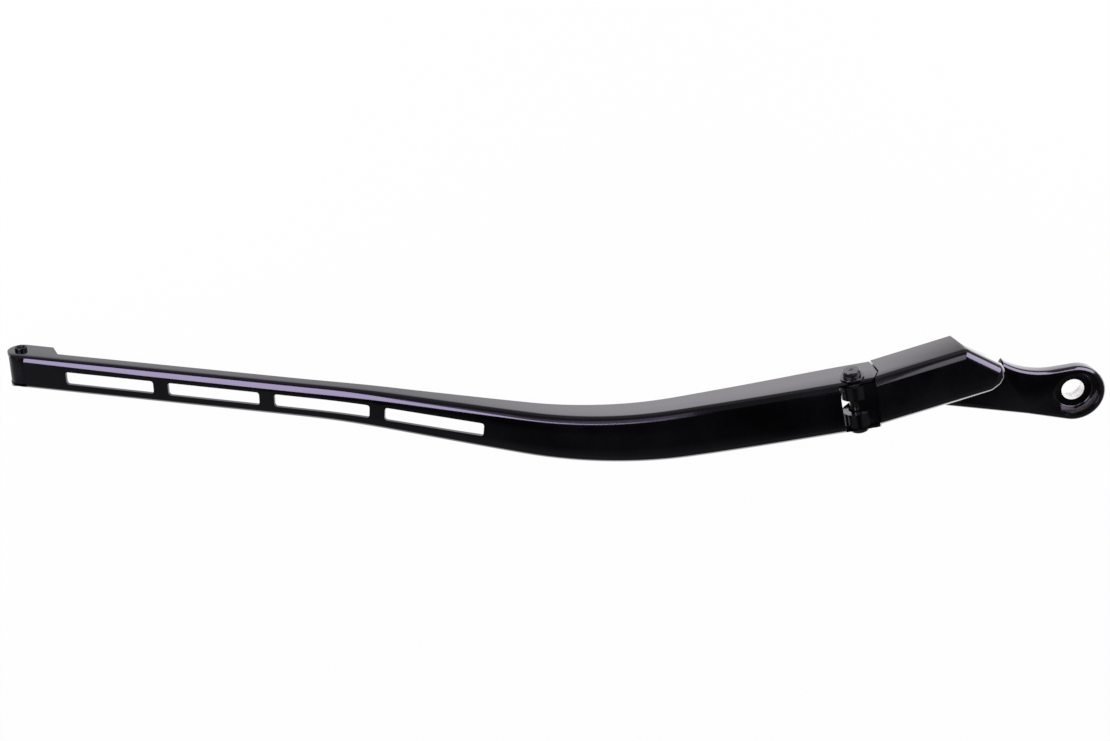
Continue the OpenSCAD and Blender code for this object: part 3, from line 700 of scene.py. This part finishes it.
# %% Lever and eye, made in the spindle's frame
# The lever's root lies inside the body, so that only its free part has to be drawn with care.
LEVER_T, LEVER_TOP, LEVER_R, EYE_R, WAIST_R, WAIST_MID = 9.0, 17.4, 2.8, 16.2, 41.0, (-20.8, 54.2)
lever_foot = LEVER_TOP - LEVER_T
lever_plan = ([(HINGE.x + 44, -2), (HINGE.x + 50, 8.7 - EYE_R), (-25, 3.6 - EYE_R)]
              + arc((0, 0), EYE_R, -98.6, 101.2, 72) + arc(WAIST_MID, WAIST_R, 281.2, 238, 24)
              + [(HINGE.x + 68, 26), (HINGE.x + 60, 26), (HINGE.x + 60, 8)])
lever = slab("lever", lever_plan, lever_foot, LEVER_TOP)
soft_edges(lever, "rim", LEVER_R, 6, above=60)
settle(lever)
beyond = [(HINGE.x + 40, 15.5), (HINGE.x + 75, 15.5), (HINGE.x + 77.9, 16.8),
          (HINGE.x + 80.5, 40), (HINGE.x + 40, 40)]
pocket = [(HINGE.x + 71.4, -6.8), (-EYE_R - 2.5, -10.6), (-EYE_R - 2.5, 9.8), (-34, 12),
          (HINGE.x + 76, 12)]
boss = [(0, 0), (EYE_R - 5, 0), (EYE_R - 0.5, lever_foot + LEVER_R), (0, lever_foot + LEVER_R)]
carve(lever,
      slab("beyond_nose", beyond, 0, 30),
      slab("pocket", pocket, lever_foot - 1, LEVER_TOP - 4.6, edge=1.0, corner=2.0))
carve(lever, turned("boss", boss, steps=96), how="UNION")
lever.data.materials.append(cast_coat)
print("lever:", len(lever.data.polygons), "faces")

# %% Recess for the nut, serrated bore, pin bores and room for the link
TAPER_D, LAND_D, LAND_LEN, NUT_SEAT_Z = 15.0, 12.2, 3.2, 10.8
RECESS_D, RECESS_FLARE, SERRATIONS, SERRATION_H = 21.6, 1.9, 30, 0.45


def star_bore():
    """A tapered cutter whose every second point stands out, for the serrations."""
    bm = bmesh.new()
    taper_len = NUT_SEAT_Z - LAND_LEN
    bmesh.ops.create_cone(bm, cap_ends=True, segments=2 * SERRATIONS, radius1=TAPER_D / 2,
                          radius2=LAND_D / 2, depth=taper_len + 0.02,
                          matrix=Matrix.Translation((0, 0, taper_len / 2)))
    for v in bm.verts:
        if round(math.atan2(v.co.y, v.co.x) / math.pi * SERRATIONS) % 2 and v.co.z < 1:
            v.co.xy *= 1 + SERRATION_H / v.co.xy.length
    return piece_from(bm, "star_bore")


flare = RECESS_D / 2 + RECESS_FLARE
recess = ([(0, NUT_SEAT_Z)] + arc((RECESS_D / 2 - 1.2, NUT_SEAT_Z + 1), 1, -90, -12, 6)
          + [(flare - 0.3, LEVER_TOP - 0.6), (flare, LEVER_TOP), (flare, LEVER_TOP + 0.5),
             (0, LEVER_TOP + 0.5)])
machined = [rod("land", LAND_D / 2, 7, NUT_SEAT_Z + 1, steps=96), star_bore()]
for tool in machined:
    tool.data.materials.append(bare_bore)
carve(lever, turned("recess", recess, steps=96), *machined)
lever.data.transform(SPINDLE)

TO_ANCHOR = Matrix.Translation((ANCHOR_X, 0, -ANCHOR_Z))
between, pin_room = (-SLOT_HALF, SLOT_HALF), (0, 2 * ROOT_W)
carve(head,
      block("link_slot", (-30, 1.7), between, (-24, 24)),
      block("eye_room", (-30, ANCHOR_X + 4.4), between, (-24, -3.6)),
      rod("pin_bore", BUSH_R, *pin_room, across(-ROOT_W), 64),
      rod("anchor_bore", ANCHOR_D / 2, *pin_room, across(-ROOT_W, TO_ANCHOR)))
carve(head, lever, how="UNION")
soft_edges(seat(head, AT_HINGE, 30), "cast edge", 0.4 * MM, 3, above=42).miter_outer = "MITER_ARC"
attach(head, "head")
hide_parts("mounting_head")
print("head:", len(head.data.polygons), "faces before its last bevel")

# %% [markdown]
# ## Pins, bushes and washers
#
# Turned parts are a profile spun about their own axis. Each profile has its chamfers drawn in,
# because light on those small edges is what makes a pin look turned and not like a plain rod.

# %% The hinge pin with six flats on its head, and what sits on it
PIN_HEAD_D, PIN_HEAD_H, WASHER_D, WASHER_T, COLLAR_D, COLLAR_T = 10.0, 3.6, 13.0, 0.9, 10.5, 2.2
RUN_GAP, r, head_r = 0.05, PIN_D / 2, PIN_HEAD_D / 2
under_head, pin_foot = half_w + WASHER_T, -half_w - COLLAR_T
head_end = under_head + PIN_HEAD_H
pin = turned("hinge_pin_turned", [
    (0, pin_foot - 0.4), (r - 0.6, pin_foot - 0.4), (r, pin_foot + 0.2), (r, under_head),
    (head_r - 0.15, under_head), (head_r, under_head + 0.15), (head_r, head_end - 0.7),
    (head_r - 0.7, head_end), (1.4, head_end), (0.9, head_end - 0.5), (0, head_end - 0.5)],
    steps=72)
for k in range(6):
    carve(pin, block("flat", (head_r - 0.45, 9), (-9, 9), (under_head + 0.9, under_head + 9),
                     Matrix.Rotation(math.tau * k / 6, 4, "Z")))
give(seat(pin, across(0, AT_HINGE), 25), "arm", "black_steel", black_oxide, "hinge_pin")


def ring(name, inner, outer, y0, y1, place, chamfer=0.12):
    """A washer, bush or collar with chamfered rims, seated on its pin."""
    line = [(inner, y0 + chamfer), (inner + chamfer, y0),
            (outer - chamfer, y0), (outer, y0 + chamfer),
            (outer, y1 - chamfer), (outer - chamfer, y1),
            (inner + chamfer, y1), (inner, y1 - chamfer)]
    return seat(turned(name, line, steps=64), across(0, place))


def both(low_y, high_y, side):
    """A stretch along the pin on the upper side, or its mirror on the lower one."""
    return (low_y, high_y) if side > 0 else (-high_y, -low_y)


give(ring("pin_washer", r, WASHER_D / 2, half_w, under_head, AT_HINGE),
     "arm", "black_steel", black_oxide, "hinge_pin_washer")
give(ring("pin_collar", r, COLLAR_D / 2, pin_foot, -half_w, AT_HINGE, 0.4),
     "arm", "black_steel", black_oxide, "hinge_pin_collar")
for side, word in ((1, "upper"), (-1, "lower")):
    bush_y, thrust_y = both(cheek_in, cheek_out, side), both(root_in - THRUST_T, root_in, side)
    give(ring(word + "_bush", r + RUN_GAP, BUSH_R, *bush_y, AT_HINGE, 0.2),
         "head", "bronze", sintered_bronze, word + "_hinge_bush")
    give(ring(word + "_thrust_ring", r + 0.1, r + 2.5, *thrust_y, AT_HINGE),
         "arm", "nylon", dark_nylon, word + "_thrust_washer")
at_anchor = AT_HINGE @ TO_ANCHOR
anchor_r, chamfer = ANCHOR_D / 2, 0.4
anchor = turned("anchor_pin", [(0, -cheek_out), (anchor_r - chamfer, -cheek_out),
                               (anchor_r, chamfer - cheek_out), (anchor_r, cheek_out - chamfer),
                               (anchor_r - chamfer, cheek_out), (0, cheek_out)])
give(seat(anchor, across(0, at_anchor)), "head", "zinc_steel", dark_zinc, "head_anchor_pin")
print("hinge pin head spans y", round(under_head, 2), "to", round(head_end, 2))

# %% The tip pin, its collar, sleeve and washers
TIP_PIN_D, TIP_HEAD_D, TIP_HEAD_H, TIP_WASHER_T, SLEEVE = 5.0, 7.0, 2.1, 0.5, 0.9
tip_half, tip_r, tip_head_r = tip_in - TIP_WASHER_T - SIDE_PLAY, TIP_PIN_D / 2, TIP_HEAD_D / 2
tip_side = TIP_W / 2
tip_top, sleeve_in = tip_side + TIP_HEAD_H, tip_r + RUN_GAP
rivet = turned("tip_rivet", [
    (0, -tip_side - 1.8), (tip_r - 0.5, -tip_side - 1.8), (tip_r, -tip_side - 1.3),
    (tip_r, tip_side), (tip_head_r - 0.1, tip_side), (tip_head_r, tip_side + 0.1),
    (tip_head_r, tip_top - 0.5), (tip_head_r - 0.5, tip_top), (2.3, tip_top),
    (2.0, tip_top - 0.3), (1.7, tip_top - 1.3), (0, tip_top - 1.3)], steps=64)
give(seat(rivet, across(0, AT_TIP)), "arm", "zinc_steel", dark_zinc, "tip_pin")
give(ring("tip_collar", tip_r, tip_head_r, -tip_side - 1.5, -tip_side, AT_TIP, 0.3),
     "arm", "zinc_steel", dark_zinc, "tip_pin_collar")
give(ring("eye_sleeve", sleeve_in, sleeve_in + SLEEVE, -tip_half, tip_half, AT_TIP, 0.2),
     "adapter", "zinc_steel", dark_zinc, "adapter_sleeve")
for side, word in ((1, "upper"), (-1, "lower")):
    washer_y = both(tip_in - TIP_WASHER_T, tip_in, side)
    give(ring(word + "_tip_ring", tip_r + 0.1, tip_r + 2, *washer_y, AT_TIP),
         "arm", "nylon", dark_nylon, word + "_tip_washer")
print("tip rivet stands", TIP_HEAD_H, "mm off the lug")

# %% [markdown]
# ## Blade adapter, link, bracket and spring
#
# The adapter is a moulded clip, so its edges get a wider bevel than sheared steel. The spring is
# one wire, and a curve with a round section follows its coils and both hooks without a seam. A
# spin with a step along its axis would make the coils alone, but not the way down into a hook.

# %% The moulded adapter
ADAPTER_R, ADAPTER_LEN, BARREL_R, SPINE_HALF = 6.0, 22.0, 7.2, 3.4
tongue = [(-1.5, -5), (0, -ADAPTER_R - 0.6), (ADAPTER_LEN - 3, -ADAPTER_R - 0.6),
          (ADAPTER_LEN, -4.4), (ADAPTER_LEN, 0.8), (3, 0.8), (-1.5, -1)]
adapter = sideways("moulded_adapter", tongue, 1 - tip_half, tip_half - 1)
carve(adapter, rod("adapter_eye", BARREL_R, -tip_half, tip_half, across(0), 64), how="UNION")
spine = (-SPINE_HALF, SPINE_HALF)
carve(adapter,
      rod("eye_bore", sleeve_in + SLEEVE, -20, 20, across(0), 64),
      block("spine_channel", (6.6, ADAPTER_LEN + 6.6), spine, (-20, -1.4)),
      block("latch_window", (ADAPTER_LEN - 9, ADAPTER_LEN - 4.5), spine, (-3, 7)))
soft_edges(seat(adapter, AT_TIP, 30), "moulded edge", 0.35 * MM, 3, above=40)
give(adapter, "adapter", "black_plastic", moulded_black, "blade_adapter")
print("adapter:", len(adapter.data.polygons), "faces before its bevel")

# %% The link that runs under the hinge pin
WIRE_D, SPRING_D, COILS, BRACKET_AT, COIL_LEN, SPRING_Z = 1.9, 11.0, 21, 110.0, 66.0, 9.0
LINK_T, LINK_W, LINK_GAP = 3.0, 3.0, 1.0
hook_r, coil_r = SPRING_D / 2 - WIRE_D, (SPRING_D - WIRE_D) / 2
hook_len = hook_r * 1.8 + 4
bracket_x = -BRACKET_AT
link_x = bracket_x + COIL_LEN + 2 * hook_len
down, back = ANCHOR_Z - SPRING_Z, ANCHOR_X - link_x
AT_LINK = at_anchor @ Matrix.Rotation(math.atan2(down, back), 4, "Y")
reach, pin_at = math.hypot(back, down), math.hypot(ANCHOR_X, ANCHOR_Z)
half_link = LINK_W / 2
bow_r = PIN_D / 2 + LINK_GAP + half_link
outer, inner = bow_r + half_link, bow_r - half_link
strap_end = -pin_at - math.sqrt(outer ** 2 - half_link ** 2)
start = math.degrees(math.asin(half_link / outer))
link_line = ([(-reach, half_link), (-reach, -half_link), (strap_end, -half_link)]
             + arc((-pin_at, 0), outer, 180 + start, 360, 24)
             + arc((-pin_at, 0), inner, 360, 180, 24) + [(-pin_at - inner, half_link)])
link = sideways("link_strap", link_line, -LINK_T / 2, LINK_T / 2)


def boss_at(name, x, radius, width):
    return rod(name, radius, -width, width, across(0, Matrix.Translation((x, 0, 0))))


carve(link,
      boss_at("near_eye", 0, ANCHOR_D / 2 + 1.8, LINK_T / 2),
      boss_at("far_eye", -reach, WIRE_D / 2 + 3, LINK_T / 2), how="UNION")
carve(link,
      boss_at("near_hole", 0, ANCHOR_D / 2 + RUN_GAP, LINK_T),
      boss_at("far_hole", -reach, (WIRE_D + 1) / 2, LINK_T))
soft_edges(seat(link, AT_LINK), "punched edge", 0.25 * MM, 2, above=40)
give(link, "link", "zinc_steel", dark_zinc, "spring_link")
print("link reaches", round(reach, 1), "mm; bow radius", bow_r)

# %% The bracket that holds the spring's far hook
WELD_GAP, PLATE_T = 0.12, 2.0
under = on_line(BRACKET_AT).z - HINGE.z - SHEET - WELD_GAP
HERE = Matrix.Translation((bracket_x, 0, 0))
tab = [(-13, under - 1.6), (-2.5, -SPRING_Z - 3), (1.6, -SPRING_Z - 3), (3, -SPRING_Z - 1),
       (3, under - 1)]
plate_z = (-SHEET - WELD_GAP - PLATE_T, -SHEET - WELD_GAP)
at_wire = HERE @ Matrix.Translation((0, 0, -SPRING_Z))
bracket = sideways("hook_bracket", tab, -1, 1, HERE)
carve(bracket, block("weld_plate", (-16, 4), (-6, 6), plate_z, at_station(BRACKET_AT)), how="UNION")
carve(bracket, rod("hook_hole", (WIRE_D + 1) / 2, -5, 5, across(0, at_wire)))
give(seat(bracket, AT_HINGE), "arm", "zinc_steel", dark_zinc, "spring_bracket")
print("weld plate under the face at", round(under, 2), "mm above the hinge pin")

# %% The tension spring: one wire along hook, coil and hook
AT_SPRING = AT_HINGE @ Matrix.Translation((0, 0, -SPRING_Z))
TURN_STEPS = 24


def hook(x, side):
    """The end loop lies flat, so that it can pass through an upright tab."""
    angles = [math.radians(b) for b in range(-150, 130, 10)]
    return [(x - side * hook_r * (1 - math.cos(b)), hook_r * math.sin(b), 0) for b in angles]


def lead(x, side):
    """The wire comes down from the coil's top to the loop."""
    return [(x + side * (hook_len - 1.4 - 1.7 * k), hook_r * (0.45 + 0.17 * k),
             coil_r * (0.86 - 0.27 * k)) for k in range(3)]


def coil_point(k):
    turn = math.tau * k / TURN_STEPS
    along = bracket_x + hook_len + COIL_LEN * k / (COILS * TURN_STEPS)
    return along, coil_r * math.sin(turn), coil_r * math.cos(turn)


wire_path = (hook(bracket_x, -1) + lead(bracket_x, 1)[::-1]
             + [coil_point(k) for k in range(COILS * TURN_STEPS + 1)]
             + lead(link_x, -1) + hook(link_x, 1)[::-1])
wire = bpy.data.curves.new("wire", "CURVE")
wire.dimensions, wire.bevel_depth, wire.bevel_resolution = "3D", WIRE_D / 2, 3
wire.use_fill_caps = True
strand = wire.splines.new("POLY")
strand.points.add(len(wire_path) - 1)
for point, at in zip(strand.points, wire_path):
    point.co = (*at, 1)
drawn = bpy.data.objects.new("drawn_wire", wire)
bpy.context.collection.objects.link(drawn)
bpy.context.view_layer.update()
spring_bm = bmesh.new()
spring_bm.from_mesh(drawn.to_mesh())
drawn.to_mesh_clear()
bpy.data.objects.remove(drawn)
spring = seat(piece_from(spring_bm, "wound_spring"), AT_SPRING, 50)
give(spring, "arm", "spring_steel", spring_wire, "tension_spring")
print("spring:", COILS, "turns,", len(spring.data.polygons), "faces")

# %% [markdown]
# ## The arm's finish
#
# Every piece now has its shape. The channel and the head share the gloss coat; the casting has a
# coarser skin under it than rolled sheet, so it gets its own values of the same effects.

# %% Coat the channel
give(arm, "arm", "black_coat", gloss_coat, "arm_channel")
shown = sorted(piece.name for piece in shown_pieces())
print(len(shown), "pieces shown:", ", ".join(shown))

# %% [markdown]
# ## Table, lamps and camera
#
# The photograph is a catalogue shot on white. A black gloss part shows only what it reflects, so
# the lamps are soft boxes placed where its rounded edges look. The white comes from the floor and
# the world as camera, glossy and transmission rays see them, so the lamps stay at a plain level.

# %% Helpers for floor and world
def maths(add, operation, a, b, clamp=False):
    return add("ShaderNodeMath", {0: a, 1: b}, operation=operation, use_clamp=clamp).outputs[0]


def smooth_step(add, value, start, end, low, high):
    """Goes smoothly from low to high while value goes from start to end."""
    made = add("ShaderNodeMapRange", {"Value": value, "From Min": start, "From Max": end,
                                      "To Min": low, "To Max": high},
               interpolation_type="SMOOTHSTEP")
    return made.outputs[0]


def lit_tree(owner):
    """An empty shader tree for a material or the world, and its add function."""
    owner.use_nodes = True
    owner.node_tree.nodes.clear()
    return adder(owner.node_tree)

# %% A pale floor that keeps a faint shadow
# Gloss sees a painted pool of light on the floor: bright in front and dark behind a slanted line,
# and brighter to the right.
FLOOR_SHARE, FLOOR_SKEW = 0.97, -0.1
lowest = cad_box[0][2]
floor_bm = bmesh.new()
bmesh.ops.create_grid(floor_bm, x_segments=1, y_segments=1, size=6.0,
                      matrix=Matrix.Translation((-0.3, 0, lowest - 0.0005)))
floor = piece_from(floor_bm, "floor")
floor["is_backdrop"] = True
paper = bpy.data.materials.new("white_paper")
add = lit_tree(paper)
path = add("ShaderNodeLightPath").outputs
camera_or_gloss = maths(add, "ADD", path["Is Camera Ray"], path["Is Glossy Ray"], clamp=True)
direct = maths(add, "ADD", camera_or_gloss, path["Is Transmission Ray"], clamp=True)
where = add("ShaderNodeSeparateXYZ", {0: add("ShaderNodeTexCoord").outputs["Object"]}).outputs
slope = add("ShaderNodeMath", {0: where["X"], 1: FLOOR_SKEW, 2: where["Y"]},
            operation="MULTIPLY_ADD").outputs[0]
sweep = smooth_step(add, slope, 0.058, 0.108, 1.0, 0.1)
middle_rise = smooth_step(add, where["X"], -0.42, -0.22, 0.78, 1.3)
head_rise = smooth_step(add, where["X"], -0.07, 0.01, 0.0, 0.5)
painted_light_pool = maths(add, "MULTIPLY", maths(add, "ADD", middle_rise, head_rise), sweep)
# Glossy rays see the painted pool of light; camera and transmission rays see plain white.
strength = add("ShaderNodeMix", {"Factor": path["Is Glossy Ray"], 2: 1.0, 3: painted_light_pool}).outputs[0]
matt = add("ShaderNodeBsdfDiffuse", {"Color": (0.85, 0.85, 0.85, 1)}).outputs[0]
glow = add("ShaderNodeEmission", {"Color": (1, 1, 1, 1), "Strength": strength}).outputs[0]
share = maths(add, "MULTIPLY", direct, FLOOR_SHARE)
mixed = add("ShaderNodeMixShader", {0: share, 1: matt, 2: glow})
add("ShaderNodeOutputMaterial", {"Surface": mixed.outputs[0]})
floor.data.materials.append(paper)
print("floor at", round(lowest, 4), "m, with", FLOOR_SHARE, "of its own white")

# %% The world: white to the camera, a dark ceiling to gloss
WHITE, LAMP_LEVEL = 1.0, 0.45
world = bpy.data.worlds.new("studio")
bpy.context.scene.world = world
add = lit_tree(world)
path = add("ShaderNodeLightPath").outputs
sky = add("ShaderNodeTexCoord").outputs["Generated"]
height = add("ShaderNodeSeparateXYZ", {0: sky}).outputs["Z"]
ceiling = smooth_step(add, height, 0.78, 0.87, 0.055, 0.002)
straight = maths(add, "ADD", path["Is Camera Ray"], path["Is Transmission Ray"], clamp=True)
plain = add("ShaderNodeMapRange", {"Value": straight, "To Min": LAMP_LEVEL, "To Max": WHITE})
no_gloss = maths(add, "SUBTRACT", 1.0, path["Is Glossy Ray"])
for_gloss = maths(add, "MULTIPLY", ceiling, path["Is Glossy Ray"])
for_rest = maths(add, "MULTIPLY", plain.outputs[0], no_gloss)
back = add("ShaderNodeBackground", {"Color": (1, 1, 1, 1),
                                    "Strength": maths(add, "ADD", for_rest, for_gloss)})
add("ShaderNodeOutputWorld", {"Surface": back.outputs[0]})
print("the ceiling darkens from", round(math.degrees(math.asin(0.78))), "degrees up")

# %% Soft boxes
def soft_box(name, at, aim, size, strength, colour):
    lamp = bpy.data.lights.new(name, "AREA")
    lamp.shape, lamp.size, lamp.size_y = "RECTANGLE", *size
    lamp.color = colour
    lamp.energy = strength * math.pi * size[0] * size[1]
    obj = bpy.data.objects.new(name, lamp)
    bpy.context.collection.objects.link(obj)
    toward = (Vector(aim) - Vector(at)).to_track_quat("-Z", "Y")
    obj.matrix_world = Matrix.Translation(at) @ toward.to_matrix().to_4x4()
    obj.visible_camera = False


soft_box("left_box", (-0.77, 0.33, 0.38), (-0.62, 0.0, 0.0), (0.56, 0.66), 3.9, (0.78, 0.70, 1.0))
soft_box("left_wing", (-0.435, 0.33, 0.44), (-0.38, 0.0, 0.0), (0.11, 0.5), 0.35, (0.85, 0.78, 1.0))
soft_box("right_wing", (-0.10, 0.33, 0.42), (-0.05, 0.0, 0.0), (0.14, 0.46), 0.9, (0.9, 0.9, 0.92))
soft_box("right_box", (0.235, 0.35, 0.21), (0.0, 0.0, 0.015), (0.46, 0.44), 3.6, (0.85, 0.78, 1.0))

# %% The camera of the photograph
LENS, SENSOR, LOOKS_DOWN = 51.05, 36.0, 64.0
view = bpy.data.cameras.new("view")
view.lens, view.sensor_width = LENS, SENSOR
camera = bpy.data.objects.new("view", view)
bpy.context.collection.objects.link(camera)
camera.location = (-0.28186, 0.38477, 0.77641)
camera.rotation_euler = (math.radians(LOOKS_DOWN - 90), 0, 0)
bpy.context.scene.camera = camera
bpy.context.scene.view_settings.view_transform = "Standard"
print("camera", round(camera.location.length, 3), "m from the spindle's seat")

# %% The end
bpy.context.view_layer.update()
